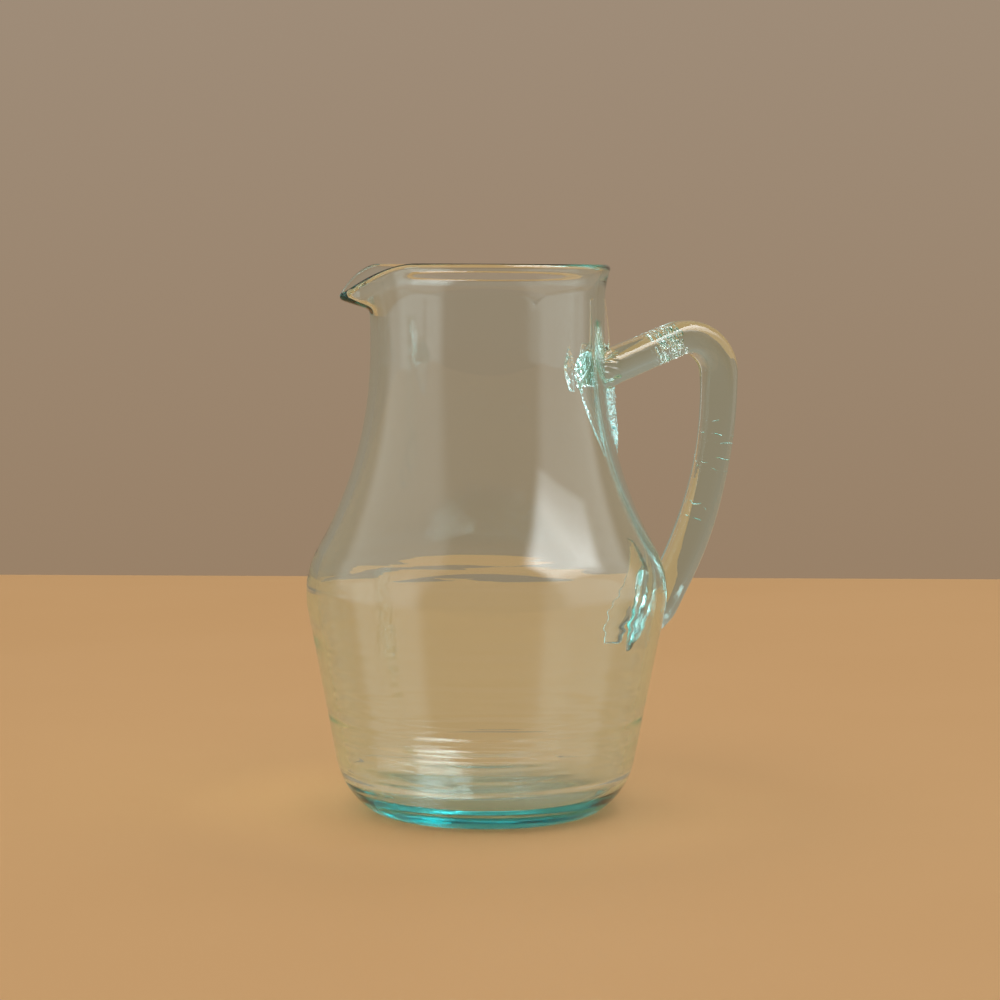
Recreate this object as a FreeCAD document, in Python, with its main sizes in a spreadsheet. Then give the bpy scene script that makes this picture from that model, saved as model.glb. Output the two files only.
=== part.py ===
import FreeCAD, Part
import math
import os
import Sketcher

# A hand-blown glass jug: one blown vessel with a pulled spout, and one strap handle that is
# stuck on by a pressed pad of glass at each end. Millimetres. +Z is up, the origin is the
# centre of the flat foot, the spout points to -X and the handle to +X.

DIMENSIONS = {
    # the meridian of the outside: foot, heel, leaning wall, hip, shoulder, neck and flare
    "wall_lean": 10.8,
    "hip_height": 88.0,
    "flare_start": 205.0,
    "vessel_floor": 0.0,
    "vessel_heel_bend": 20.5,
    "vessel_hip_radius": 72.7,
    "vessel_hip_bend": 37.0,
    "vessel_shoulder_bend": 162.0,
    "vessel_neck_radius": 46.9,
    "vessel_flare_bend": 40.0,
    "vessel_top": 217.7,
    # the same meridian for the hollow inside
    "cavity_floor": 6.5,
    "cavity_heel_bend": 13.0,
    "cavity_hip_radius": 68.9,
    "cavity_hip_bend": 34.0,
    "cavity_shoulder_bend": 164.0,
    "cavity_neck_radius": 43.9,
    "cavity_flare_bend": 37.0,
    "cavity_top": 222.0,
    # the fire-polished bead of the rim
    "bead_bend": 2.3,
    "bead_reach": 48.0,
    # the pulled spout: half widths and depths of its outside and of its channel
    "lip_height": 220.0,
    "spout_root": 36.0,
    "spout_root_width": 29.0,
    "spout_root_depth": 22.0,
    "spout_tip": 60.6,
    "spout_tip_width": 5.0,
    "spout_tip_depth": 4.0,
    "spout_drop": 11.0,
    "channel_root": 34.0,
    "channel_root_width": 27.0,
    "channel_root_depth": 18.5,
    "channel_tip": 62.0,
    "channel_tip_width": 2.6,
    "channel_tip_depth": 1.8,
    "channel_drop": 11.4,
    "channel_clear": 4.0,
    # the strap handle: a rising arm, a tight upper corner, a long bowed back, a straight tail
    "strap_thickness": 14.0,
    "strap_flat": 6.0,
    "arm_rise": 21.0,
    "arm_root": 44.0,
    "corner_bend": 15.0,
    "corner_reach": 85.9,
    "corner_height": 175.6,
    "back_turn": 2.0,
    "back_bend": 160.0,
    "tail_fall": 28.0,
    "tail_run": 45.0,
    # the pressed pads of glass under the two ends of the strap
    "pad_thickness": 4.0,
    "pad_sector": 120.0,
    "cutter_side": 160.0,
    "shell_clear": 12.0,
    "upper_pad_top": 202.0,
    "upper_pad_middle": 178.0,
    "upper_pad_width": 15.0,
    "upper_pad_bottom": 145.0,
    "lower_pad_top": 110.0,
    "lower_pad_top_width": 5.0,
    "lower_pad_width": 13.5,
    "lower_pad_shoulder": 90.0,
    "lower_pad_middle": 68.0,
    "lower_pad_toe_width": 8.0,
    "lower_pad_bottom": 58.0,
}

document = FreeCAD.newDocument("water_jug")
sheet = document.addObject("Spreadsheet::Sheet", "Dimensions")
for row, (alias, number) in enumerate(DIMENSIONS.items(), start=1):
    sheet.set("A%d" % row, alias)
    sheet.set("B%d" % row, str(number))
    sheet.setAlias("B%d" % row, alias)
document.recompute()


def size(alias):
    return float(sheet.get(alias))


def cell(alias):
    return "Dimensions." + alias


def origin_plane(body, role):
    return next(item for item in body.Origin.OriginFeatures if item.Role == role)


def new_sketch(body, name, role):
    sketch = body.newObject("Sketcher::SketchObject", name)
    sketch.AttachmentSupport = (origin_plane(body, role), [""])
    sketch.MapMode = "FlatFace"
    return sketch


def bind(sketch, kind, *arguments, to):
    """Add a dimension to the sketch and bind it to an expression over the sheet."""
    index = sketch.addConstraint(Sketcher.Constraint(kind, *arguments))
    sketch.setExpression("Constraints[%d]" % index, to)


def line(sketch, start, end):
    return sketch.addGeometry(Part.LineSegment(start, end), False)


def arc(sketch, centre, radius, first, last):
    """A counter-clockwise arc between two angles in degrees."""
    circle = Part.Circle(centre, FreeCAD.Vector(0, 0, 1), radius)
    return sketch.addGeometry(Part.ArcOfCircle(circle, math.radians(first), math.radians(last)), False)


def on_arc(centre, radius, angle):
    turn = math.radians(angle)
    return centre + FreeCAD.Vector(radius * math.cos(turn), radius * math.sin(turn), 0)


def meridian_sketch(body, name, wall, growth=None):
    """Half the section of a turned solid: foot, heel arc, leaning wall, hip arc, shoulder arc,
    neck and flare, closed along the axis. growth names a cell by which the whole outline is
    moved outwards, so that a second solid can sit on the first one's skin."""
    grow = size(growth) if growth else 0.0
    more = " + " + cell(growth) if growth else ""
    less = " - " + cell(growth) if growth else ""
    lean = size("wall_lean")
    floor = size(wall + "_floor")
    top = size(wall + "_top") + (size("shell_clear") if growth else 0.0)
    heel_bend = size(wall + "_heel_bend")
    hip_bend = size(wall + "_hip_bend")
    shoulder_bend = size(wall + "_shoulder_bend")
    neck = size(wall + "_neck_radius")
    flare_bend = size(wall + "_flare_bend")

    hip = FreeCAD.Vector(size(wall + "_hip_radius") - hip_bend, size("hip_height"), 0)
    across = neck + shoulder_bend - hip.x
    along = math.sqrt((hip_bend + shoulder_bend) ** 2 - across ** 2)
    shoulder = FreeCAD.Vector(neck + shoulder_bend, hip.y + along, 0)
    meeting = math.degrees(math.atan2(along, across))
    wall_foot = on_arc(hip, hip_bend, -lean)
    slope = math.radians(lean)
    reach = wall_foot.x * math.cos(slope) - wall_foot.y * math.sin(slope)
    heel_height = floor + heel_bend
    heel = FreeCAD.Vector(
        (reach - heel_bend + heel_height * math.sin(slope)) / math.cos(slope), heel_height, 0
    )
    flare = FreeCAD.Vector(neck + flare_bend, size("flare_start"), 0)
    opening = math.degrees(math.asin((top - flare.y) / (flare_bend - grow)))

    sketch = new_sketch(body, name, "XZ_Plane")
    foot = line(sketch, FreeCAD.Vector(0, floor - grow, 0), on_arc(heel, heel_bend + grow, -90))
    heel_arc = arc(sketch, heel, heel_bend + grow, -90, -lean)
    side = line(sketch, on_arc(heel, heel_bend + grow, -lean), on_arc(hip, hip_bend + grow, -lean))
    hip_arc = arc(sketch, hip, hip_bend + grow, -lean, meeting)
    shoulder_arc = arc(sketch, shoulder, shoulder_bend - grow, 180, 180 + meeting)
    neck_line = line(
        sketch,
        FreeCAD.Vector(neck + grow, shoulder.y, 0),
        FreeCAD.Vector(neck + grow, flare.y, 0),
    )
    flare_arc = arc(sketch, flare, flare_bend - grow, 180 - opening, 180)
    rim_point = on_arc(flare, flare_bend - grow, 180 - opening)
    lid = line(sketch, rim_point, FreeCAD.Vector(0, top, 0))
    axis = line(sketch, FreeCAD.Vector(0, top, 0), FreeCAD.Vector(0, floor - grow, 0))

    chain = [
        ("Tangent", foot, 2, heel_arc, 1),
        ("Tangent", heel_arc, 2, side, 1),
        ("Tangent", side, 2, hip_arc, 1),
        ("Tangent", hip_arc, 2, shoulder_arc, 2),
        ("Tangent", shoulder_arc, 1, neck_line, 1),
        ("Tangent", neck_line, 2, flare_arc, 2),
        ("Coincident", flare_arc, 1, lid, 1),
        ("Coincident", lid, 2, axis, 1),
        ("Coincident", axis, 2, foot, 1),
        ("Horizontal", foot),
        ("Horizontal", lid),
        ("PointOnObject", axis, 1, -2),
        ("PointOnObject", axis, 2, -2),
    ]
    for kind, *ends in chain:
        sketch.addConstraint(Sketcher.Constraint(kind, *ends))
    bind(sketch, "DistanceY", -1, 1, foot, 1, floor - grow, to=cell(wall + "_floor") + less)
    bind(sketch, "Radius", heel_arc, heel_bend + grow, to=cell(wall + "_heel_bend") + more)
    bind(sketch, "Radius", hip_arc, hip_bend + grow, to=cell(wall + "_hip_bend") + more)
    bind(
        sketch, "DistanceX", -1, 1, hip_arc, 3, hip.x,
        to=cell(wall + "_hip_radius") + " - " + cell(wall + "_hip_bend"),
    )
    bind(sketch, "DistanceY", -1, 1, hip_arc, 3, hip.y, to=cell("hip_height"))
    bind(
        sketch, "Radius", shoulder_arc, shoulder_bend - grow, to=cell(wall + "_shoulder_bend") + less
    )
    bind(sketch, "DistanceX", -1, 1, neck_line, 1, neck + grow, to=cell(wall + "_neck_radius") + more)
    bind(sketch, "DistanceY", -1, 1, neck_line, 2, flare.y, to=cell("flare_start"))
    bind(sketch, "Radius", flare_arc, flare_bend - grow, to=cell(wall + "_flare_bend") + less)
    shell = " + " + cell("shell_clear") if growth else ""
    bind(sketch, "DistanceY", -1, 1, axis, 1, top, to=cell(wall + "_top") + shell)
    bind(sketch, "Angle", side, math.radians(90 - lean), to="(90 - Dimensions.wall_lean) * 1 deg")
    return sketch


def turned(body, kind, name, sketch):
    """Revolve a sketch all the way round the body's Z axis, adding or cutting."""
    feature = body.newObject("PartDesign::" + kind, name)
    feature.Profile = sketch
    feature.ReferenceAxis = (sketch, ["V_Axis"])
    feature.Angle = 360
    document.recompute()
    return feature


def bowl_sketch(body, name, part, height):
    """A section across the spout: a shallow arc whose chord is the lip. Where the body's part
    is the channel, two short walls rise from the lip, so that the cut is open above."""
    width = size(part + "_width")
    depth = size(part + "_depth")
    radius = (width ** 2 + depth ** 2) / (2 * depth)
    lip = size("lip_height") - (size(height) if height else 0.0)
    lip_to = cell("lip_height") + (" - " + cell(height) if height else "")
    radius_to = "({w} ^ 2 + {d} ^ 2) / (2 * {d})".format(w=cell(part + "_width"), d=cell(part + "_depth"))
    centre = FreeCAD.Vector(0, lip - depth + radius, 0)
    half = math.degrees(math.asin(width / radius))

    sketch = new_sketch(body, name, "YZ_Plane")
    sketch.AttachmentOffset = FreeCAD.Placement(
        FreeCAD.Vector(0, 0, -size(part)), FreeCAD.Rotation()
    )
    sketch.setExpression(".AttachmentOffset.Base.z", "-" + cell(part))
    bowl = arc(sketch, centre, radius, -90 - half, -90 + half)
    left = FreeCAD.Vector(-width, lip, 0)
    right = FreeCAD.Vector(width, lip, 0)
    open_above = part.startswith("channel")
    rise = FreeCAD.Vector(0, size("lip_height") + size("channel_clear") - lip, 0)
    if open_above:
        right_wall = line(sketch, right, right + rise)
        lid = line(sketch, right + rise, left + rise)
        left_wall = line(sketch, left + rise, left)
        joints = [
            ("Coincident", bowl, 2, right_wall, 1),
            ("Coincident", right_wall, 2, lid, 1),
            ("Coincident", lid, 2, left_wall, 1),
            ("Coincident", left_wall, 2, bowl, 1),
            ("Vertical", right_wall),
            ("Vertical", left_wall),
            ("Horizontal", lid),
        ]
    else:
        lid = line(sketch, right, left)
        joints = [("Coincident", bowl, 2, lid, 1), ("Coincident", lid, 2, bowl, 1)]
    for kind, *ends in joints:
        sketch.addConstraint(Sketcher.Constraint(kind, *ends))
    sketch.addConstraint(Sketcher.Constraint("Symmetric", bowl, 1, bowl, 2, -2))
    bind(sketch, "DistanceX", -1, 1, bowl, 2, width, to=cell(part + "_width"))
    bind(sketch, "DistanceY", -1, 1, bowl, 2, lip, to=lip_to)
    bind(sketch, "Radius", bowl, radius, to=radius_to)
    if open_above:
        bind(
            sketch, "DistanceY", -1, 1, lid, 1, lip + rise.y,
            to=cell("lip_height") + " + " + cell("channel_clear"),
        )
    return sketch


def loft(body, kind, name, first, second):
    feature = body.newObject("PartDesign::" + kind, name)
    feature.Profile = first
    feature.Sections = [second]
    feature.Ruled = True
    document.recompute()
    return feature


def make_vessel():
    """The blown vessel: turned outside, rim bead, spout pulled out of the rim, hollow inside."""
    body = document.addObject("PartDesign::Body", "vessel")
    turned(body, "Revolution", "vessel_outside", meridian_sketch(body, "outside_outline", "vessel"))

    bead = new_sketch(body, "bead_outline", "XZ_Plane")
    centre = FreeCAD.Vector(size("bead_reach"), size("vessel_top"), 0)
    ring = bead.addGeometry(Part.Circle(centre, FreeCAD.Vector(0, 0, 1), size("bead_bend")), False)
    bind(bead, "Radius", ring, size("bead_bend"), to=cell("bead_bend"))
    bind(bead, "DistanceX", -1, 1, ring, 3, centre.x, to=cell("bead_reach"))
    bind(bead, "DistanceY", -1, 1, ring, 3, centre.y, to=cell("vessel_top"))
    turned(body, "Revolution", "rim_bead", bead)

    spout_root = bowl_sketch(body, "spout_root_outline", "spout_root", None)
    spout_tip = bowl_sketch(body, "spout_tip_outline", "spout_tip", "spout_drop")
    loft(body, "AdditiveLoft", "spout", spout_root, spout_tip)
    filled = body.Shape.Volume

    turned(body, "Groove", "hollow", meridian_sketch(body, "inside_outline", "cavity"))
    hollowed = body.Shape.Volume
    channel_root = bowl_sketch(body, "channel_root_outline", "channel_root", None)
    channel_tip = bowl_sketch(body, "channel_tip_outline", "channel_tip", "channel_drop")
    loft(body, "SubtractiveLoft", "spout_channel", channel_root, channel_tip)
    if not filled > hollowed > body.Shape.Volume:
        raise RuntimeError("the vessel's hollow or its spout channel cut nothing")
    return body


def strap_path(body):
    """The handle's centre line in the XZ plane: arm, corner arc, back arc and tail."""
    rise = size("arm_rise")
    fall = size("tail_fall")
    turn = size("back_turn")
    corner = FreeCAD.Vector(size("corner_reach"), size("corner_height"), 0)
    corner_bend = size("corner_bend")
    back_bend = size("back_bend")
    back = on_arc(corner, back_bend - corner_bend, 180 + turn)
    arm_end = on_arc(corner, corner_bend, 90 + rise)
    back_end = on_arc(back, back_bend, -fall)
    root_height = arm_end.y - (arm_end.x - size("arm_root")) * math.tan(math.radians(rise))
    down = math.radians(-90 - fall)
    tail_end = back_end + FreeCAD.Vector(math.cos(down), math.sin(down), 0) * size("tail_run")

    sketch = new_sketch(body, "strap_path", "XZ_Plane")
    arm = line(sketch, FreeCAD.Vector(size("arm_root"), root_height, 0), arm_end)
    corner_arc = arc(sketch, corner, corner_bend, turn, 90 + rise)
    back_arc = arc(sketch, back, back_bend, -fall, turn)
    tail = line(sketch, back_end, tail_end)
    for first, first_end, second, second_end in (
        (arm, 2, corner_arc, 2),
        (corner_arc, 1, back_arc, 2),
        (back_arc, 1, tail, 1),
    ):
        sketch.addConstraint(Sketcher.Constraint("Tangent", first, first_end, second, second_end))
    bind(sketch, "DistanceX", -1, 1, arm, 1, size("arm_root"), to=cell("arm_root"))
    bind(sketch, "Angle", arm, math.radians(rise), to="Dimensions.arm_rise * 1 deg")
    bind(sketch, "Radius", corner_arc, corner_bend, to=cell("corner_bend"))
    bind(sketch, "DistanceX", -1, 1, corner_arc, 3, corner.x, to=cell("corner_reach"))
    bind(sketch, "DistanceY", -1, 1, corner_arc, 3, corner.y, to=cell("corner_height"))
    bind(sketch, "Radius", back_arc, back_bend, to=cell("back_bend"))
    bind(sketch, "Distance", tail, size("tail_run"), to=cell("tail_run"))
    bind(sketch, "Angle", tail, down, to="-(90 + Dimensions.tail_fall) * 1 deg")
    return sketch, root_height


def strap_section(body, root_height):
    """The strap's section at the arm's root: flat faces joined by two half rounds."""
    half_flat = size("strap_flat") / 2
    half_thick = size("strap_thickness") / 2
    sketch = new_sketch(body, "strap_section", "YZ_Plane")
    sketch.AttachmentOffset = FreeCAD.Placement(
        FreeCAD.Vector(0, root_height, size("arm_root")),
        FreeCAD.Rotation(FreeCAD.Vector(1, 0, 0), -size("arm_rise")),
    )
    rise = "{0} * 1 deg".format(cell("arm_rise"))
    sketch.setExpression(".AttachmentOffset.Base.z", cell("arm_root"))
    sketch.setExpression(
        ".AttachmentOffset.Base.y",
        "{height} + {bend} * cos({rise}) - ({reach} - {bend} * sin({rise}) - {root}) * tan({rise})".format(
            height=cell("corner_height"),
            bend=cell("corner_bend"),
            reach=cell("corner_reach"),
            root=cell("arm_root"),
            rise=rise,
        ),
    )
    right = arc(sketch, FreeCAD.Vector(half_flat, 0, 0), half_thick, -90, 90)
    left = arc(sketch, FreeCAD.Vector(-half_flat, 0, 0), half_thick, 90, 270)
    top = line(sketch, FreeCAD.Vector(half_flat, half_thick, 0), FreeCAD.Vector(-half_flat, half_thick, 0))
    under = line(sketch, FreeCAD.Vector(-half_flat, -half_thick, 0), FreeCAD.Vector(half_flat, -half_thick, 0))
    for first, first_end, second, second_end in (
        (right, 2, top, 1),
        (top, 2, left, 1),
        (left, 2, under, 1),
        (under, 2, right, 1),
    ):
        sketch.addConstraint(Sketcher.Constraint("Tangent", first, first_end, second, second_end))
    sketch.addConstraint(Sketcher.Constraint("Horizontal", top))
    sketch.addConstraint(Sketcher.Constraint("Symmetric", right, 3, left, 3, -1, 1))
    bind(sketch, "Radius", right, half_thick, to=cell("strap_thickness") + " / 2")
    bind(sketch, "DistanceX", left, 3, right, 3, 2 * half_flat, to=cell("strap_flat"))
    return sketch


def make_handle():
    """The drawn strap, cut off where it lands on the two pads."""
    body = document.addObject("PartDesign::Body", "handle")
    path, root_height = strap_path(body)
    section = strap_section(body, root_height)
    document.recompute()
    strap = body.newObject("PartDesign::AdditivePipe", "strap")
    strap.Profile = section
    strap.Spine = path
    document.recompute()
    whole = body.Shape.Volume
    turned(body, "Groove", "strap_ends", meridian_sketch(body, "pad_skin", "vessel", "pad_thickness"))
    if not body.Shape.Volume < whole:
        raise RuntimeError("the strap's ends were not cut")
    return body


def pad_cutter(body, name, half_outline):
    """Everything round a pad: a large frame with the pad's outline as its hole. half_outline
    lists the pad's right-hand corners from the top down, as names of sheet cells: (half width,
    height), with None for a corner on the centre line."""
    sketch = new_sketch(body, name, "YZ_Plane")
    side = size("cutter_side")
    low = -side / 2
    frame = [
        FreeCAD.Vector(-side, low, 0),
        FreeCAD.Vector(side, low, 0),
        FreeCAD.Vector(side, low + 2 * side, 0),
        FreeCAD.Vector(-side, low + 2 * side, 0),
    ]
    corners = []
    bindings = []
    left_half = [corner for corner in reversed(half_outline) if corner[0]]
    for sign, run in ((1, half_outline), (-1, left_half)):
        for width, height in run:
            corners.append(FreeCAD.Vector(sign * size(width) if width else 0.0, size(height), 0))
            bindings.append(("%d * %s" % (sign, cell(width)) if width else "0", cell(height)))
    frame_bindings = [
        ("%d * %s" % (sign, cell("cutter_side")), "%s * %s" % (factor, cell("cutter_side")))
        for sign, factor in ((-1, "-0.5"), (1, "-0.5"), (1, "1.5"), (-1, "1.5"))
    ]
    for loop, ties in ((frame, frame_bindings), (corners, bindings)):
        count = len(loop)
        sides = [line(sketch, loop[i], loop[(i + 1) % count]) for i in range(count)]
        for i, (across_to, height_to) in enumerate(ties):
            sketch.addConstraint(Sketcher.Constraint("Coincident", sides[i - 1], 2, sides[i], 1))
            bind(sketch, "DistanceX", -1, 1, sides[i], 1, loop[i].x, to=across_to)
            bind(sketch, "DistanceY", -1, 1, sides[i], 1, loop[i].y, to=height_to)
    return sketch


def make_pad(name, half_outline):
    """A pad of glass of even thickness, bedded on the vessel's skin on its +X side."""
    body = document.addObject("PartDesign::Body", name)
    skin = meridian_sketch(body, name + "_skin", "vessel", "pad_thickness")
    sector = body.newObject("PartDesign::Revolution", name + "_sector")
    sector.Profile = skin
    sector.ReferenceAxis = (skin, ["V_Axis"])
    sector.Angle = size("pad_sector")
    sector.Midplane = True
    sector.setExpression("Angle", cell("pad_sector"))
    document.recompute()
    sector_volume = body.Shape.Volume
    turned(body, "Groove", name + "_bed", meridian_sketch(body, name + "_bed_outline", "vessel"))
    shell_volume = body.Shape.Volume

    trim = body.newObject("PartDesign::Pocket", name + "_trim")
    trim.Profile = pad_cutter(body, name + "_outline", half_outline)
    trim.Type = "ThroughAll"
    trim.Midplane = True
    document.recompute()
    if not sector_volume > shell_volume > body.Shape.Volume:
        raise RuntimeError(name + " was not bedded and trimmed")
    return body


def check_and_write(bodies):
    """Refuse a failed feature or a bad shape, then write one STEP file per sub-part."""
    document.recompute()
    for item in document.Objects:
        if "Invalid" in item.State or "Error" in item.State:
            raise RuntimeError("%s is %s" % (item.Name, item.State))
    for body in bodies:
        if body.Shape.isNull() or not body.Shape.isValid() or len(body.Shape.Solids) != 1:
            raise RuntimeError(body.Label + " is not one valid solid")
    os.makedirs("parts", exist_ok=True)
    for body in bodies:
        body.Shape.exportStep("parts/%s.step" % body.Label)
        box = body.Shape.BoundBox
        print(
            "%-12s volume %9.0f mm3, x %6.1f %6.1f, y %6.1f %6.1f, z %6.1f %6.1f"
            % (body.Label, body.Shape.Volume, box.XMin, box.XMax, box.YMin, box.YMax, box.ZMin, box.ZMax)
        )


vessel = make_vessel()
handle = make_handle()
upper_seal = make_pad(
    "upper_seal",
    [
        (None, "upper_pad_top"),
        ("upper_pad_width", "upper_pad_middle"),
        (None, "upper_pad_bottom"),
    ],
)
lower_seal = make_pad(
    "lower_seal",
    [
        ("lower_pad_top_width", "lower_pad_top"),
        ("lower_pad_width", "lower_pad_shoulder"),
        ("lower_pad_width", "lower_pad_middle"),
        ("lower_pad_toe_width", "lower_pad_bottom"),
    ],
)
for body in (vessel, handle, upper_seal, lower_seal):
    body.Label = body.Name
    body.Placement = FreeCAD.Placement()
check_and_write([vessel, handle, upper_seal, lower_seal])
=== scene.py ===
from math import atan2, cos, exp, pi, radians, sin, sqrt, tau

import bpy
import numpy as np
from mathutils import Matrix, Vector


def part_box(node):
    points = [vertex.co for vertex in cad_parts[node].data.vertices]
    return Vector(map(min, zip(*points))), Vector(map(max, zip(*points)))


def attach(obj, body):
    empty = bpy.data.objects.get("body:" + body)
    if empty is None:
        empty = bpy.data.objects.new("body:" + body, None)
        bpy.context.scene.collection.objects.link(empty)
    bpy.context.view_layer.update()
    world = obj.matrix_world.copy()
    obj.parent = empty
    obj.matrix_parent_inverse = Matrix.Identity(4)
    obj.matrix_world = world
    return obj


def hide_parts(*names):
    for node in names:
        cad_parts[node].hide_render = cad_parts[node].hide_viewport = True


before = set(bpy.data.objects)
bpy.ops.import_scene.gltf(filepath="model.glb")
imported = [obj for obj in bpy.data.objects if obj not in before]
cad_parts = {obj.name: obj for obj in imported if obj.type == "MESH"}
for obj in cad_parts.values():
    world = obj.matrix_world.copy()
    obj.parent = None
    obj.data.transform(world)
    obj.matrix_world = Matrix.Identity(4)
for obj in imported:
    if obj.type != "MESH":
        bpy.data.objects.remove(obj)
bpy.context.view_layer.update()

MM = 0.001

WHITE = (0.95, 0.98, 1.0)
WARM = (1.0, 0.98, 0.95)

# The vessel's two skins, in millimetres. The outer size is read from the vessel part in model.glb. Each skin
# is the same run of
# lines and arcs: floor, toe arc, heel arc, leaning wall, hip arc, hollow shoulder arc, neck and flare.
vessel_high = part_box("vessel")[1]
HEIGHT = vessel_high.z / MM
HIP_RADIUS = vessel_high.y / MM
HIP_HEIGHT = 0.4 * HEIGHT
WALL_LEAN = radians(10.8)
TOE_TURN = radians(34.0)
FLARE_START = HEIGHT - 15.0
FLARE_BEND = 40.0
FLARE_RISE = 12.6
SIDE_WALL = 3.3
OUTER = {
    "floor": 0.0,
    "toe": 5.0,
    "heel": 30.0,
    "hip": HIP_RADIUS,
    "bend": 37.0,
    "shoulder": 162.0,
    "neck": 46.8,
}
INNER = {
    "floor": 6.3,
    "toe": 12.5,
    "heel": 12.5,
    "hip": HIP_RADIUS - SIDE_WALL,
    "bend": OUTER["bend"] - SIDE_WALL,
    "shoulder": OUTER["shoulder"] + SIDE_WALL,
    "neck": 43.7,
}
NECK_WALL = OUTER["neck"] - INNER["neck"]
LIP_WALL = 3.6
LIP_SWELL = (HEIGHT - 9.0, HEIGHT - 3.5)
PUNT_RADIUS = 33.0
PUNT_RISE = 0.9

# The pulled spout, on the -X side. The curve is the wall's line (radius, height) down its middle.
SPOUT_ROOT = HEIGHT - 30.0
SPOUT_TURN = radians(177.0)
SPOUT_SPREAD = radians(37.0)
SPOUT_BLUNT = 0.1
SPOUT_CURVE = ((46.8, 190.0), (46.8, 204.5), (47.5, 200.8), (59.4, 205.2))

# The vessel's mesh: columns round the axis, steps over the lip, and the gaps between its rows.
AROUND = 164
LIP_STEPS = 26
FLOOR_EDGE, FLOOR_GAP = 34.0, 1.7
TOE_TOP, TOE_GAP = 1.0, 1.1
RINGS_TOP, RINGS_GAP = 104.0, 0.65
NECK_GAP = 1.9
SPOUT_GAP = 0.7

# The handle's strap, and how far its glass reaches into the vessel's.
STRAP_THICK = 13.8
STRAP_WIDTH = 19.4
STRAP_TWIST = radians(16.0)
STRAP_COLUMNS = 56
HANDLE_BITE = 0.4
HANDLE_VOXEL = 0.6

# The glass: its colour by depth, and the faint cords in its surface, drawn out round the vessel.
VESSEL_TINT, VESSEL_DENSITY = (0.08, 0.86, 0.87), 25.0
HANDLE_TINT, HANDLE_DENSITY = (0.08, 0.88, 0.87), 13.5
CORD_SCALE = (18.0, 18.0, 260.0)
CORD_STRENGTH, CORD_DEPTH = 0.12, 0.00006

# The side that the camera looks from, in degrees round the axis.
CAMERA_TURN = -110.0
CAMERA_SIDE = radians(CAMERA_TURN)


def smooth(low, high, value):
    """0 below low, 1 above high, and a smooth step between."""
    t = np.clip((np.asarray(value, float) - low) / (high - low), 0.0, 1.0)
    return t * t * (3.0 - 2.0 * t)


def arc(centre, radius, start, end, step=0.1):
    """Points (radius, height) on an arc from one angle to another, in radians."""
    count = max(2, int(abs(end - start) * radius / step))
    turn = np.linspace(start, end, count)
    return np.column_stack((centre[0] + radius * np.cos(turn), centre[1] + radius * np.sin(turn)))


def straight(first, last, step=0.1):
    """Points (radius, height) on a straight line."""
    count = max(2, int(np.hypot(last[0] - first[0], last[1] - first[1]) / step))
    return np.linspace(first, last, count)


def bezier(points, t):
    """A Bezier curve of any degree at the parameters t."""
    level = [np.outer(1.0 - t, a) + np.outer(t, b) for a, b in zip(points, points[1:])]
    while len(level) > 1:
        level = [(1.0 - t)[:, None] * a + t[:, None] * b for a, b in zip(level, level[1:])]
    return level[0]


def along(points):
    """Distance of each point from the first, along the line."""
    return np.concatenate(([0.0], np.cumsum(np.linalg.norm(np.diff(points, axis=0), axis=1))))


def placed(points, distance, at):
    """Points of a line at other distances along it."""
    return np.column_stack([np.interp(at, distance, points[:, k]) for k in (0, 1)])


def outline(skin):
    """Half section of one skin, from the middle of its floor to the lip."""
    hip = (skin["hip"] - skin["bend"], HIP_HEIGHT)
    shoulder_x = skin["neck"] + skin["shoulder"]
    reach = skin["bend"] + skin["shoulder"]
    shoulder = (shoulder_x, HIP_HEIGHT + sqrt(reach**2 - (shoulder_x - hip[0]) ** 2))
    turn = atan2(shoulder[1] - hip[1], shoulder[0] - hip[0])
    hip_arc = arc(hip, skin["bend"], -WALL_LEAN, turn)
    shoulder_arc = arc(shoulder, skin["shoulder"], turn + pi, pi)
    toe_rise = skin["floor"] + skin["toe"] * (1.0 - cos(TOE_TURN))
    rise = toe_rise + skin["heel"] * (cos(TOE_TURN) - sin(WALL_LEAN))
    heel_end = hip_arc[0][0] - (hip_arc[0][1] - rise) * np.tan(WALL_LEAN)
    heel = (heel_end - skin["heel"] * cos(WALL_LEAN), rise + skin["heel"] * sin(WALL_LEAN))
    toe = (heel[0] + (skin["heel"] - skin["toe"]) * sin(TOE_TURN), skin["floor"] + skin["toe"])
    toe_arc = arc(toe, skin["toe"], -pi / 2, TOE_TURN - pi / 2)
    heel_arc = arc(heel, skin["heel"], TOE_TURN - pi / 2, -WALL_LEAN)
    wall = straight(heel_arc[-1], hip_arc[0])
    neck = straight(shoulder_arc[-1], (skin["neck"], FLARE_START))
    flare_turn = pi - np.arcsin(FLARE_RISE / FLARE_BEND)
    flare = arc((skin["neck"] + FLARE_BEND, FLARE_START), FLARE_BEND, pi, flare_turn)
    across = np.linspace(0.0, toe[0], 400)
    punt = PUNT_RISE * (1.0 - smooth(0.0, PUNT_RADIUS, across))
    base = np.column_stack((across, skin["floor"] + punt))
    parts = (base, toe_arc, heel_arc, wall, hip_arc, shoulder_arc, neck, flare)
    return np.vstack([parts[0]] + [part[1:] for part in parts[1:]])


def rows_along(points):
    """The outline at the rows of the mesh, closer together where the wall has rings and at the lip."""
    distance = along(points)
    height, radius = points[:, 1], points[:, 0]
    gap = np.where(height > TOE_TOP, RINGS_GAP, TOE_GAP)
    gap = np.where(height > RINGS_TOP, NECK_GAP, gap)
    gap = np.where(height > SPOUT_ROOT, SPOUT_GAP, gap)
    gap = np.where(radius < FLOOR_EDGE, FLOOR_GAP, gap)
    counted = np.concatenate(([0.0], np.cumsum(np.diff(distance) / gap[1:])))
    at = np.interp(np.linspace(0.0, counted[-1], int(counted[-1])), counted, distance)
    return placed(points, distance, at)


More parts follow.
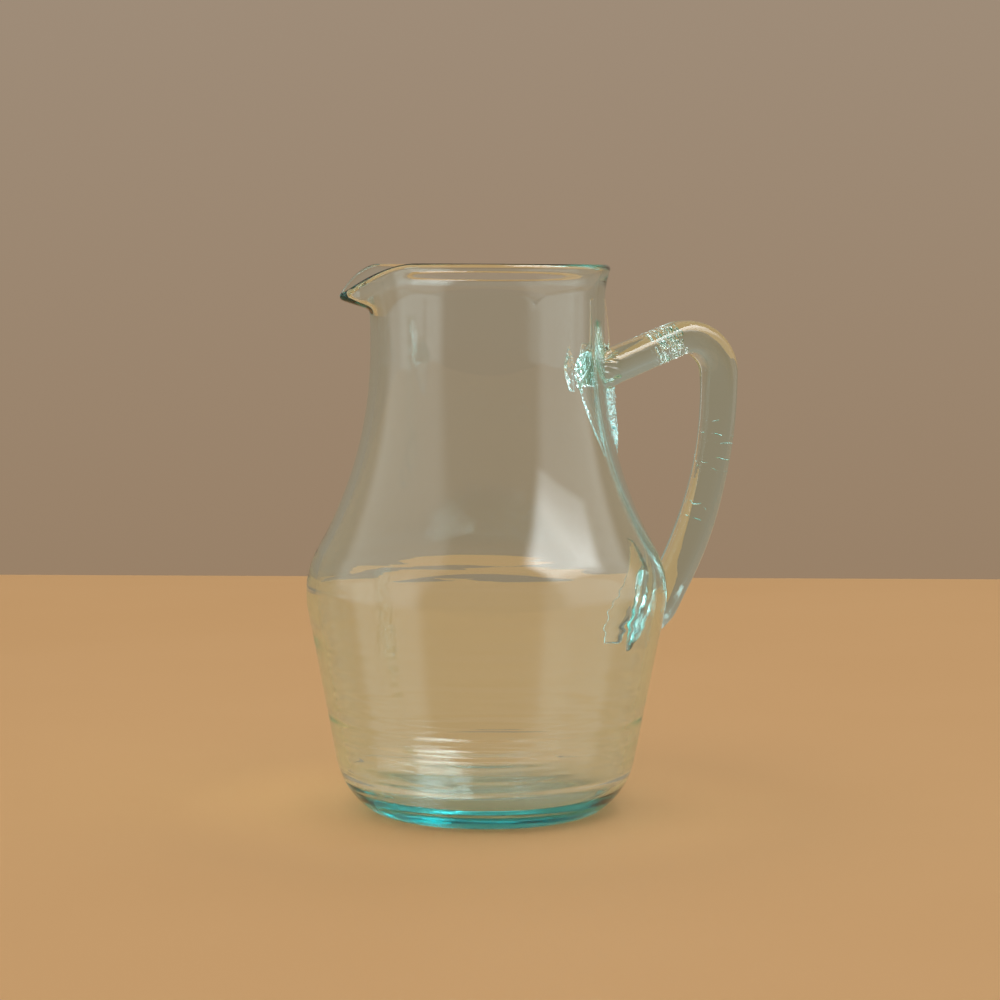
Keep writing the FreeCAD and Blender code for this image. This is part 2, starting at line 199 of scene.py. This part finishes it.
def spout_share(turn):
    """How far each direction around the lip follows the spout, from 0 to 1."""
    off = np.abs((turn - SPOUT_TURN + pi) % tau - pi) / SPOUT_SPREAD
    off = (np.sqrt(off**2 + SPOUT_BLUNT**2) - SPOUT_BLUNT) / (sqrt(1.0 + SPOUT_BLUNT**2) - SPOUT_BLUNT)
    return np.clip(1.0 - off, 0.0, None) ** 2


def ripple(turn, height, count, slope, seed):
    """Fine rings left by blowing, in millimetres of radius: many short ridges, closer and steeper towards
    the foot. Chance gives each ridge its place, width, lean, reach round the vessel and size."""
    draw = np.random.default_rng(seed)
    lowest, span, crowding = 5.0, 97.0, 1.35
    total = np.zeros(np.broadcast(turn, height).shape)
    for _ in range(count):
        middle = lowest + span * draw.random() ** crowding
        width = 0.8 + 1.9 * draw.random() * (0.3 + middle / 100.0)
        lean = draw.normal(0.0, 0.6) * np.sin(turn + draw.random() * tau)
        reach = 0.6 + 2.4 * draw.random()
        off = (turn - draw.random() * tau + pi) % tau - pi
        window = np.clip(1.0 - (off / reach) ** 2, 0.0, 1.0) ** 2
        size = slope * (1.5 - middle / 110.0) * draw.normal(0.0, 1.0) * width
        total += size * window * np.exp(-(((height - middle + lean) / width) ** 2))
    above_foot, below_shoulder = smooth(6.0, 13.0, height), 1.0 - smooth(96.0, 106.0, height)
    return total * above_foot * below_shoulder


def hoops(turn, height, seed):
    """A few stronger rings that go most of the way round, in millimetres of radius, from the hip down."""
    draw = np.random.default_rng(seed)
    highest, lowest, strongest = 96.0, 8.0, 0.11
    total = np.zeros(np.broadcast(turn, height).shape)
    middle = highest
    while middle > lowest:
        width = 0.9 + 0.009 * middle
        lean = 0.8 * np.sin(turn + draw.random() * tau)
        strength = 0.6 + 0.4 * np.sin(2.0 * turn + draw.random() * tau)
        size = strongest * (1.1 - middle / 120.0) * strength
        total += size * np.exp(-(((height - middle + lean) / width) ** 2))
        middle -= 2.6 + 0.075 * middle + 1.5 * draw.random()
    return total


def bearings():
    """The columns of the vessel's mesh round the axis, closest together at the spout."""
    crowding = 0.5
    even = np.arange(AROUND) * tau / AROUND
    return SPOUT_TURN + even - crowding * np.sin(even)


def ring_points(turn, radius, height):
    """Points on rings round the axis, as a grid (row, column, xyz)."""
    return np.stack((radius * np.cos(turn), radius * np.sin(turn), height + 0.0 * radius), axis=2)


def surface_normals(grid):
    """Unit normals of a grid of points (row, column, xyz) whose columns go round."""
    down = np.gradient(grid, axis=0)
    side = np.roll(grid, -1, axis=1) - np.roll(grid, 1, axis=1)
    normal = np.cross(side, down)
    return normal / np.linalg.norm(normal, axis=2, keepdims=True)


def mesh_object(name, points, faces):
    """A smooth-shaded mesh object from points in millimetres."""
    mesh = bpy.data.meshes.new(name)
    mesh.from_pydata((np.asarray(points) * MM).tolist(), [], faces)
    mesh.validate()
    mesh.shade_smooth()
    piece = bpy.data.objects.new(name, mesh)
    bpy.context.scene.collection.objects.link(piece)
    return piece


def ring_faces(rings, columns, offset=0):
    """Quads that join each ring of points to the next."""
    here = np.arange(columns)
    there = np.roll(here, -1)
    faces = []
    for row in range(rings - 1):
        low, high = offset + row * columns, offset + (row + 1) * columns
        faces += np.column_stack((low + here, low + there, high + there, high + here)).tolist()
    return faces


def closed_tube(name, rings):
    """A closed mesh through rings of equal count, with a fan at each end."""
    count, columns = len(rings), len(rings[0])
    points = np.asarray(rings).reshape(-1, 3)
    points = np.vstack((points, rings[0].mean(axis=0), rings[-1].mean(axis=0)))
    faces = ring_faces(count, columns)
    start, end = count * columns, count * columns + 1
    last = (count - 1) * columns
    for column in range(columns):
        following = (column + 1) % columns
        faces.append((start, following, column))
        faces.append((end, last + column, last + following))
    return mesh_object(name, points, faces)


def sway(turn, height):
    """The slight unroundness of blown glass, in millimetres of radius."""
    slow = 0.22 * np.cos(2.0 * turn + 0.8) + 0.12 * np.sin(3.0 * turn + height / 40.0)
    return slow * smooth(8.0, 120.0, height)


def pressed(turn, height):
    """Share of the rings that is left: working on the handle smoothed them round its lower seal."""
    middle, reach, smoothed = -0.3, 1.0, 0.88
    off = (turn - middle + pi) % tau - pi
    return 1.0 - smoothed * np.exp(-((off / reach) ** 4)) * smooth(42.0, 58.0, height)


def outer_relief(turn, height):
    """What the outer skin has over its outline, in millimetres of radius."""
    rings = ripple(turn, height, count=130, slope=0.03, seed=21) + 0.8 * hoops(turn, height, seed=8)
    return sway(turn, height) + rings * pressed(turn, height)


def inner_relief(turn, height):
    """What the inner skin has over its outline: one side and the lower wall are thicker."""
    uneven = 0.18 * np.cos(turn - 1.0) * smooth(10.0, 40.0, height) * (1.0 - smooth(140.0, 180.0, height))
    settled = -0.75 * (1.0 - smooth(70.0, 126.0, height))
    rings = ripple(turn, height, count=190, slope=0.038, seed=33) - hoops(turn, height, seed=5)
    return sway(turn, height) + uneven + settled + rings * pressed(turn, height)


def vessel_grid():
    """The outer skin, the rounded lip and the inner skin of the vessel, as grids of rings."""
    turn = bearings()
    profile = rows_along(outline(OUTER))[1:]
    distance = along(profile)
    upper = np.arange(len(profile)) > len(profile) // 2
    root = np.interp(SPOUT_ROOT, profile[upper, 1], distance[upper])
    t = np.clip((distance - root) / (distance[-1] - root), 0.0, 1.0)
    spout = bezier(SPOUT_CURVE, t)
    share = spout_share(turn)[None, :] * (t > 0.0)[:, None]
    radius = profile[:, :1] * (1.0 - share) + spout[:, :1] * share
    height = profile[:, 1:] * (1.0 - share) + spout[:, 1:] * share
    radius = radius + outer_relief(turn[None, :], profile[:, 1:])
    outer = ring_points(turn, radius, height)

    normal = surface_normals(outer)
    wall = NECK_WALL + (LIP_WALL - NECK_WALL) * smooth(*LIP_SWELL, profile[:, 1])
    seam, seam_gap = SPOUT_ROOT - 3.0, 0.5
    above = profile[:, 1] > seam
    neck = (outer - normal * wall[:, None, None])[above]
    low = rows_along(outline(INNER))[1:]
    low = low[low[:, 1] < seam - seam_gap]
    bowl = ring_points(turn, low[:, :1] + inner_relief(turn[None, :], low[:, 1:]), low[:, 1:])
    inner = np.vstack((bowl, neck))

    across, half = normal[-1], LIP_WALL / 2.0
    up = outer[-1] - outer[-2]
    up = up - across * np.sum(up * across, axis=1, keepdims=True)
    up = up / np.linalg.norm(up, axis=1, keepdims=True)
    bend = np.linspace(0.0, pi, LIP_STEPS)[1:-1]
    lip = [outer[-1] - across * half + half * (across * cos(b) + up * sin(b)) for b in bend]
    return outer, np.array(lip), inner[::-1]


def ellipsoid(centre, axes, rings=6, columns=8):
    """Points and faces of a small closed ellipsoid, as a bubble: its faces look inwards."""
    points = [centre + axes[2]]
    for row in range(1, rings):
        lift = pi * row / rings
        for column in range(columns):
            turn = tau * column / columns
            flat = axes[0] * cos(turn) + axes[1] * sin(turn)
            points.append(centre + flat * sin(lift) + axes[2] * cos(lift))
    points.append(centre - axes[2])
    faces = [(0, 1 + (c + 1) % columns, 1 + c) for c in range(columns)]
    faces += [tuple(face) for face in ring_faces(rings - 1, columns, 1)]
    last = len(points) - 1
    first = last - columns
    faces += [(last, first + c, first + (c + 1) % columns) for c in range(columns)]
    return points, faces


def vessel():
    """The glass of the vessel: one closed mesh from the middle of its foot to the middle of its floor."""
    return closed_tube("vessel_glass_body", np.vstack(vessel_grid()))


def outer_radius(turn, height):
    """Radius of the vessel's outer skin below the lip."""
    wall = outline(OUTER)
    wall = wall[wall[:, 1] > OUTER["heel"]]
    return np.interp(height, wall[:, 1], wall[:, 0]) + outer_relief(turn, height)


def strap_line(step=0.8):
    """The strap's centre line as (radius, height): a rising arm, a tight corner, a bowed back and a tail.
    With it come its direction and its outward normal at each point, and the share of its length so far."""
    rise, start, fall = radians(21.0), radians(2.0), radians(28.0)
    corner, corner_bend, back_bend = np.array((87.4, 175.6)), 15.0, 165.0
    arm_length, tail_length = 50.0, 37.0
    back = corner - (back_bend - corner_bend) * np.array((cos(start), sin(start)))
    bend = arc(corner, corner_bend, pi / 2 + rise, start)
    bow = arc(back, back_bend, start, -fall)
    arm = straight(bend[0] - arm_length * np.array((cos(rise), sin(rise))), bend[0])
    tail = straight(bow[-1], bow[-1] - tail_length * np.array((sin(fall), cos(fall))))
    line = np.vstack((arm, bend[1:], bow[1:], tail[1:]))
    distance = along(line)
    at = np.linspace(0.0, distance[-1], int(distance[-1] / step))
    line = placed(line, distance, at)
    ahead = np.gradient(line, axis=0)
    ahead = ahead / np.linalg.norm(ahead, axis=1, keepdims=True)
    out = np.column_stack((-ahead[:, 1], ahead[:, 0]))
    return line, ahead, out, at / distance[-1]


def strap():
    """The drawn strap of the handle: rounder outside, with a crisper edge on its inner face. It is wide at
    the neck, squarer and twisted from its corner down, and thinned out at the end of its tail."""
    line, _, out, share = strap_line()
    turn = np.arange(STRAP_COLUMNS) * tau / STRAP_COLUMNS
    outward = np.cos(turn) > 0.0
    rings = []
    for (x, z), (nx, nz), at in zip(line, out, share):
        thick = STRAP_THICK / 2.0 * (1.0 + 0.02 * sin(19.0 * at) - 0.05 * exp(-((at / 0.2) ** 2)))
        wide = STRAP_WIDTH / 2.0 * (1.0 + 0.02 * sin(13.0 * at + 1.0) + 0.25 * exp(-((at / 0.17) ** 2)))
        thick *= 1.0 - 0.85 * float(smooth(0.89, 1.0, at))
        wide *= 1.0 - 0.4 * float(smooth(0.88, 1.0, at))
        square = float(smooth(0.33, 0.43, at))
        power = np.where(outward, 2.0 / (3.2 + 1.5 * square), 2.0 / 4.7)
        low = 0.2 * (1.0 - square)
        reach = np.where(outward, 1.0 + low, 1.0 - low)
        over = thick * (reach * np.sign(np.cos(turn)) * np.abs(np.cos(turn)) ** power - low)
        side = wide * np.sign(np.sin(turn)) * np.abs(np.sin(turn)) ** power
        twist = STRAP_TWIST * float(smooth(0.28, 0.45, at)) * (1.0 - 0.2 * float(smooth(0.55, 0.85, at)))
        lean = over * cos(twist) + side * sin(twist)
        flat = side * cos(twist) - over * sin(twist)
        drift = 0.5 * sin(4.0 * at)
        rings.append(np.column_stack((x + nx * lean, flat + drift, z + nz * lean)))
    return closed_tube("strap", np.array(rings))


def curve(values, at):
    """A smooth curve through evenly spaced values, at a share of its length."""
    place = at * (len(values) - 1)
    low = min(int(place), len(values) - 2)
    t = place - low
    a, b, c, d = (values[min(max(low + k, 0), len(values) - 1)] for k in (-1, 0, 1, 2))
    return b + 0.5 * t * (c - a + t * (2 * a - 5 * b + 4 * c - d + t * (3 * (b - c) + d - a)))


def wall_blob(name, heights, centre, half_width, rise, power=2.6):
    """A dab of glass on the vessel's wall. At each height it has a centre (degrees round the axis), a half
    width and a rise off the wall in millimetres, each given as a curve through a few values."""
    top, foot = heights
    row_gap, least, sunk, wall_radius = 0.6, 0.15, 2.0, 60.0
    level = np.linspace(top, foot, max(12, int(abs(top - foot) / row_gap)))
    share = np.linspace(0.0, 1.0, len(level))
    across = np.sin(np.linspace(-pi / 2, pi / 2, 41))
    back = np.linspace(0.8, -0.8, 9)
    rings = []
    for z, at in zip(level, share):
        wide, proud = max(least, curve(half_width, at)), max(least, curve(rise, at))
        dome = proud * (1.0 - np.abs(across) ** power) ** (1.0 / power)
        off = np.concatenate((across, back)) * wide
        lift = np.concatenate((dome, np.full(len(back), -sunk)))
        turn = radians(curve(centre, at)) + off / wall_radius
        level_row = np.full(len(turn), z)
        radius = outer_radius(turn, level_row) + lift
        rings.append(np.column_stack((radius * np.cos(turn), radius * np.sin(turn), level_row)))
    return closed_tube(name, np.array(rings))


def crimped(piece):
    """The waffle marks of the pincers, pressed into the glass of the upper seal and its lobe."""
    mesh = piece.data
    place = np.empty(len(mesh.vertices) * 3)
    mesh.vertices.foreach_get("co", place)
    place = place.reshape(-1, 3) / MM
    normal = np.empty(len(mesh.vertices) * 3)
    mesh.vertex_normals.foreach_get("vector", normal)
    turn = np.arctan2(place[:, 1], place[:, 0])
    height = place[:, 2]
    proud = np.hypot(place[:, 0], place[:, 1]) - outer_radius(turn, height)
    neck_radius, waffle_width, waffle_height, waffle_depth, crease_depth = 50.0, 2.9, 3.3, 0.30, 0.16
    across = neck_radius * turn
    waffle = np.sin(tau * across / waffle_width + 0.25 * height)
    waffle = waffle * np.sin(tau * height / waffle_height + 0.3 * across)
    creases = np.sin(tau * across / 1.9 + 2.0 * np.sin(height / 2.3)) * np.sin(height / 1.7 + across / 3.1)
    mask = smooth(-0.6, 0.8, proud) * (1.0 - smooth(5.5, 7.5, proud))
    mask = mask * smooth(144.0, 149.0, height) * (1.0 - smooth(184.0, 189.0, height))
    place += normal.reshape(-1, 3) * (mask * (waffle_depth * waffle + crease_depth * creases))[:, None]
    mesh.vertices.foreach_set("co", (place * MM).ravel())
    mesh.update()


def seeds():
    """Bubbles in the strap: flat ones drawn out across its back, and a cluster in the fold below its crown.
    Each batch has a span of the strap, half sizes along, across and through it, and a spread over its
    section."""
    draw = np.random.default_rng(14)
    drawn_out = {"count": 11, "span": (0.44, 0.72), "sizes": (0.16, 0.25, 1.6), "spread": 0.30}
    folded = {"count": 80, "span": (0.2, 0.26), "sizes": (0.9, 0.5, 1.2), "spread": 0.36}
    line, ahead, _, _ = strap_line()
    side = np.array((0.0, 1.0, 0.0))
    points, faces = [], []
    for batch in (drawn_out, folded):
        first, last = batch["span"]
        along_size, across_size, through_size = batch["sizes"]
        for _ in range(batch["count"]):
            at = int((first + (last - first) * draw.random()) * (len(line) - 1))
            out = np.array((-ahead[at, 1], 0.0, ahead[at, 0]))
            run = np.array((ahead[at, 0], 0.0, ahead[at, 1]))
            off = draw.uniform(-1.0, 1.0, 2) * batch["spread"]
            centre = np.array((line[at, 0], 0.0, line[at, 1])) + out * off[0] * STRAP_THICK
            centre = centre + side * off[1] * STRAP_WIDTH
            tilt = draw.normal(0.0, 0.25)
            grow = draw.uniform(0.5, 1.2)
            axes = (along_size * run, across_size * (side + tilt * run), through_size * (out + tilt * run))
            more, sides = ellipsoid(centre, grow * np.array(axes))
            faces += [tuple(len(points) + i for i in face) for face in sides]
            points += [tuple(point) for point in more]
    return mesh_object("seeds", points, faces)


def core():
    """The space inside the vessel's outer skin, a hair smaller, which the handle is trimmed to."""
    low, high, row_gap = 45.0, 212.0, 0.62
    turn = np.arange(AROUND) * tau / AROUND
    height = np.arange(low, high, row_gap)[:, None]
    radius = outer_radius(turn[None, :], height) - HANDLE_BITE
    return closed_tube("core", ring_points(turn, radius, height))


def applied(piece, kind, **settings):
    """Adds a modifier to a piece and applies it."""
    modifier = piece.modifiers.new(kind.lower(), kind)
    for name, value in settings.items():
        setattr(modifier, name, value)
    graph = bpy.context.evaluated_depsgraph_get()
    mesh = bpy.data.meshes.new_from_object(piece.evaluated_get(graph))
    piece.modifiers.clear()
    piece.data = mesh


def joined(pieces):
    """One mesh of several pieces, which are removed."""
    points, faces = [], []
    for piece in pieces:
        offset = len(points)
        points += [tuple(v.co / MM) for v in piece.data.vertices]
        faces += [tuple(offset + i for i in face.vertices) for face in piece.data.polygons]
        bpy.data.objects.remove(piece)
    return mesh_object("handle_glass_body", points, faces)


def seals():
    """The dabs of glass on the wall: the crimped upper seal, its spike and its lobe, and the lower tongue."""
    return [
        wall_blob(
            "arm_seal",
            heights=(188.0, 143.0),
            centre=(0, 0, -1, -4, -8),
            half_width=(8.0, 13.5, 11.5, 7.0, 1.4),
            rise=(2.0, 5.2, 5.4, 4.6, 1.8),
        ),
        wall_blob(
            "spike",
            heights=(206.5, 166.0),
            centre=(-6, -6, -5, -4),
            half_width=(1.3, 2.1, 2.9, 4.0),
            rise=(2.4, 4.0, 5.2, 6.5),
            power=2.0,
        ),
        wall_blob(
            "lobe",
            heights=(187.0, 168.0),
            centre=(20, 21, 19),
            half_width=(0.3, 3.4, 2.2),
            rise=(0.6, 5.0, 3.5),
            power=2.2,
        ),
        wall_blob(
            "tail_seal",
            heights=(108.0, 61.0),
            centre=(0, 1, 5, 12, 15),
            half_width=(3.5, 8.5, 9.5, 8.0, 5.0),
            rise=(0.6, 2.8, 3.4, 3.0, 2.4),
            power=2.1,
        ),
    ]


def handle():
    """The glass of the handle and its seals: fused into one skin and trimmed to the vessel's wall."""
    piece = joined([strap(), *seals()])
    applied(piece, "REMESH", mode="VOXEL", voxel_size=HANDLE_VOXEL * MM, use_smooth_shade=True)
    applied(piece, "SMOOTH", factor=0.5, iterations=4)
    crimped(piece)
    inside = core()
    applied(piece, "BOOLEAN", operation="DIFFERENCE", object=inside, solver="MANIFOLD")
    bpy.data.objects.remove(inside)
    piece = joined([piece, seeds()])
    piece.data.set_sharp_from_angle(angle=radians(55.0))
    return piece


def added(nodes, kind, **inputs):
    """A new node, with values for some of its inputs: From_Min is the input named From Min."""
    node = nodes.new("ShaderNode" + kind)
    for name, value in inputs.items():
        node.inputs[name.replace("_", " ")].default_value = value
    return node


def ramp_between(nodes, first, last):
    """A colour ramp from one colour to another."""
    ramp = added(nodes, "ValToRGB")
    for stop, colour in zip(ramp.color_ramp.elements, (first, last)):
        stop.color = (*colour, 1.0)
    return ramp


def glass(name, tint, density):
    """Greenish glass: clear in a thin wall and sea green where it is thick, with faint cords in its surface
    and a slightly smeared polish."""
    material = bpy.data.materials.new(name)
    material.use_nodes = True
    nodes, links = material.node_tree.nodes, material.node_tree.links
    shader = nodes["Principled BSDF"]
    shader.inputs["Base Color"].default_value = (1.0, 1.0, 1.0, 1.0)
    shader.inputs["Transmission Weight"].default_value = 1.0
    shader.inputs["IOR"].default_value = 1.5
    place = added(nodes, "TexCoord")
    stretch = added(nodes, "Mapping", Scale=CORD_SCALE)
    cords = added(nodes, "TexNoise", Scale=1.0, Detail=3.0)
    relief = added(nodes, "Bump", Strength=CORD_STRENGTH, Distance=CORD_DEPTH)
    links.new(place.outputs["Object"], stretch.inputs["Vector"])
    links.new(stretch.outputs["Vector"], cords.inputs["Vector"])
    links.new(cords.outputs["Fac"], relief.inputs["Height"])
    links.new(relief.outputs["Normal"], shader.inputs["Normal"])
    smear = added(nodes, "TexNoise", Scale=60.0)
    polish = added(nodes, "MapRange", From_Min=0.45, From_Max=0.8, To_Min=0.0, To_Max=0.05)
    links.new(place.outputs["Object"], smear.inputs["Vector"])
    links.new(smear.outputs["Fac"], polish.inputs["Value"])
    links.new(polish.outputs["Result"], shader.inputs["Roughness"])
    depth = added(nodes, "VolumeAbsorption", Color=(*tint, 1.0), Density=density)
    links.new(depth.outputs["Volume"], nodes["Material Output"].inputs["Volume"])
    return material


def floor_material():
    """Pale matt floor, slightly mottled, with painted light round the jug's foot: a paler round patch that
    fills in the jug's shadow.
    """
    material = bpy.data.materials.new("pale_floor")
    material.use_nodes = True
    nodes, links = material.node_tree.nodes, material.node_tree.links
    shader = nodes["Principled BSDF"]
    shader.inputs["Roughness"].default_value = 0.6
    mottle = added(nodes, "TexNoise", Scale=9.0, Detail=4.0)
    ramp = ramp_between(nodes, (0.65, 0.38, 0.150), (0.71, 0.435, 0.19))
    place = added(nodes, "TexCoord")
    reach = added(nodes, "VectorMath")
    reach.operation = "LENGTH"
    # Painted light: the floor colour is raised by up to 26% within 45 mm of the jug's axis, fading out by 140
    # mm, to fill in the jug's shadow.
    foot_light_falloff = added(nodes, "MapRange", From_Min=0.045, From_Max=0.14, To_Min=1.26, To_Max=1.0)
    foot_light_falloff.interpolation_type = "SMOOTHSTEP"
    painted_foot_light = added(nodes, "VectorMath")
    painted_foot_light.operation = "SCALE"
    links.new(mottle.outputs["Fac"], ramp.inputs["Fac"])
    links.new(place.outputs["Object"], reach.inputs[0])
    links.new(reach.outputs["Value"], foot_light_falloff.inputs["Value"])
    links.new(ramp.outputs["Color"], painted_foot_light.inputs[0])
    links.new(foot_light_falloff.outputs["Result"], painted_foot_light.inputs["Scale"])
    links.new(painted_foot_light.outputs["Vector"], shader.inputs["Base Color"])
    return material


def stage():
    """A plain pale table, square to the camera's view, and a taupe surround."""
    half_depth, half_width, thick, drop, bevel = 800.0, 1500.0, 25.0, 0.05, 2.0
    square = np.array(((-1.0, -1.0), (1.0, -1.0), (1.0, 1.0), (-1.0, 1.0)))
    swing = CAMERA_SIDE + pi / 2
    turned = np.array(((cos(swing), sin(swing)), (-sin(swing), cos(swing))))
    rings = []
    for inset, depth in ((bevel, drop), (0.0, drop + bevel), (0.0, thick)):
        corners = square * (half_width - inset, half_depth - inset) @ turned
        rings.append(np.column_stack((corners, np.full(4, -depth))))
    points = np.vstack(rings)
    faces = [tuple(range(4))] + [tuple(reversed(face)) for face in ring_faces(3, 4)]
    faces.append(tuple(range(len(points) - 1, len(points) - 5, -1)))
    table = mesh_object("table_top", points, faces)
    table.data.materials.append(floor_material())
    table.data.shade_flat()

    world = bpy.data.worlds.new("surround")
    bpy.context.scene.world = world
    world.use_nodes = True
    nodes, links = world.node_tree.nodes, world.node_tree.links
    place = added(nodes, "TexCoord")
    split = added(nodes, "SeparateXYZ")
    ramp = ramp_between(nodes, (0.315, 0.215, 0.132), (0.362, 0.290, 0.222))
    lift = added(nodes, "MapRange", From_Min=-0.15, From_Max=0.25)
    links.new(place.outputs["Generated"], split.inputs["Vector"])
    links.new(split.outputs["Z"], lift.inputs["Value"])
    links.new(lift.outputs["Result"], ramp.inputs["Fac"])
    links.new(ramp.outputs["Color"], nodes["Background"].inputs["Color"])
    nodes["Background"].inputs["Strength"].default_value = 1.0


def softbox(name, turn, lift, distance, size, radiance, colour, fade=(1.0, 1.0), lights_floor=False):
    """A soft light that looks at the jug from a direction given in degrees. fade gives its strength along
    its height, from its foot to its top, as a share of the radiance. Its two sides fade out. The lamp that
    lights the floor isn't mirrored in the glass, and the others don't light the floor."""
    width, height = size
    side_fade = (0.0, 1.0, 1.0, 1.0, 1.0, 0.0)
    data = bpy.data.lights.new(name, "AREA")
    data.shape = "RECTANGLE"
    data.size, data.size_y = width, height
    data.energy = radiance * pi * width * height
    data.color = colour
    data.use_nodes = True
    nodes, links = data.node_tree.nodes, data.node_tree.links
    place = added(nodes, "NewGeometry")
    split = added(nodes, "SeparateXYZ")
    strength = added(nodes, "Math")
    strength.operation = "MULTIPLY"
    links.new(place.outputs["Parametric"], split.inputs["Vector"])
    for index, (axis, shares) in enumerate((("X", side_fade), ("Y", fade))):
        ramp = added(nodes, "ValToRGB")
        ramp.color_ramp.interpolation = "EASE"
        stops = ramp.color_ramp.elements
        while len(stops) < len(shares):
            stops.new(0.5)
        for stop, share in enumerate(shares):
            stops[stop].position = stop / (len(shares) - 1)
            stops[stop].color = (share, share, share, 1.0)
        links.new(split.outputs[axis], ramp.inputs["Fac"])
        links.new(ramp.outputs["Color"], strength.inputs[index])
    links.new(strength.outputs["Value"], nodes["Emission"].inputs["Strength"])
    lamp = bpy.data.objects.new(name, data)
    bpy.context.scene.collection.objects.link(lamp)
    aim = Vector((0.0, 0.0, HEIGHT * MM / 2))
    flat = Vector((cos(radians(turn)), sin(radians(turn)), 0.0)) * cos(radians(lift))
    way = flat + Vector((0.0, 0.0, sin(radians(lift))))
    lamp.location = aim + way * distance
    lamp.rotation_euler = (-way).to_track_quat("-Z", "Y").to_euler()
    lamp.visible_camera = False
    lamp.visible_diffuse = lights_floor
    lamp.visible_glossy = not lights_floor


def camera():
    """The camera at the photograph's angle. It looks a little to one side of the axis, and down."""
    data = bpy.data.cameras.new("camera")
    data.sensor_width = 36.0
    data.lens = 93.24
    data.clip_start = 0.01
    eye = bpy.data.objects.new("camera", data)
    bpy.context.scene.collection.objects.link(eye)
    distance, height = 1.0414, 0.2164
    pitch, roll, swing = radians(5.008), radians(0.3), radians(0.292)
    eye.location = (distance * cos(CAMERA_SIDE), distance * sin(CAMERA_SIDE), height)
    ahead = CAMERA_SIDE + pi - swing
    way = Vector((cos(ahead) * cos(pitch), sin(ahead) * cos(pitch), -sin(pitch)))
    turn = way.to_track_quat("-Z", "Y").to_matrix() @ Matrix.Rotation(roll, 3, "Z")
    eye.rotation_euler = turn.to_euler()
    bpy.context.scene.camera = eye


camera()
stage()
softbox(
    "key", turn=CAMERA_TURN + 67.0, lift=50.0, distance=3.0, size=(2.75, 2.7), radiance=9.5, colour=WHITE,
    fade=(0.12, 0.45, 0.9, 1.0),
)
softbox(
    "spill", turn=CAMERA_TURN + 81.0, lift=15.0, distance=3.0, size=(4.4, 2.8), radiance=1.15, colour=WARM,
    fade=(0.6, 0.75, 1.0),
)
softbox(
    "fill", turn=CAMERA_TURN - 78.0, lift=25.0, distance=3.0, size=(5.2, 3.6), radiance=0.64, colour=WARM,
)
softbox(
    "overhead", turn=CAMERA_TURN, lift=89.0, distance=2.6, size=(3.8, 3.8), radiance=1.4, colour=WHITE,
    lights_floor=True,
)
scene = bpy.context.scene
scene.view_settings.view_transform = "Standard"
scene.cycles.max_bounces = 48
scene.cycles.transmission_bounces = 48
scene.cycles.glossy_bounces = 24

body = vessel()
body.data.materials.append(glass("vessel_glass", VESSEL_TINT, VESSEL_DENSITY))
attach(body, "root")
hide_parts("vessel")

grip = handle()
grip.data.materials.clear()
grip.data.materials.append(glass("handle_glass", HANDLE_TINT, HANDLE_DENSITY))
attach(grip, "root")
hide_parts("handle", "upper_seal", "lower_seal")
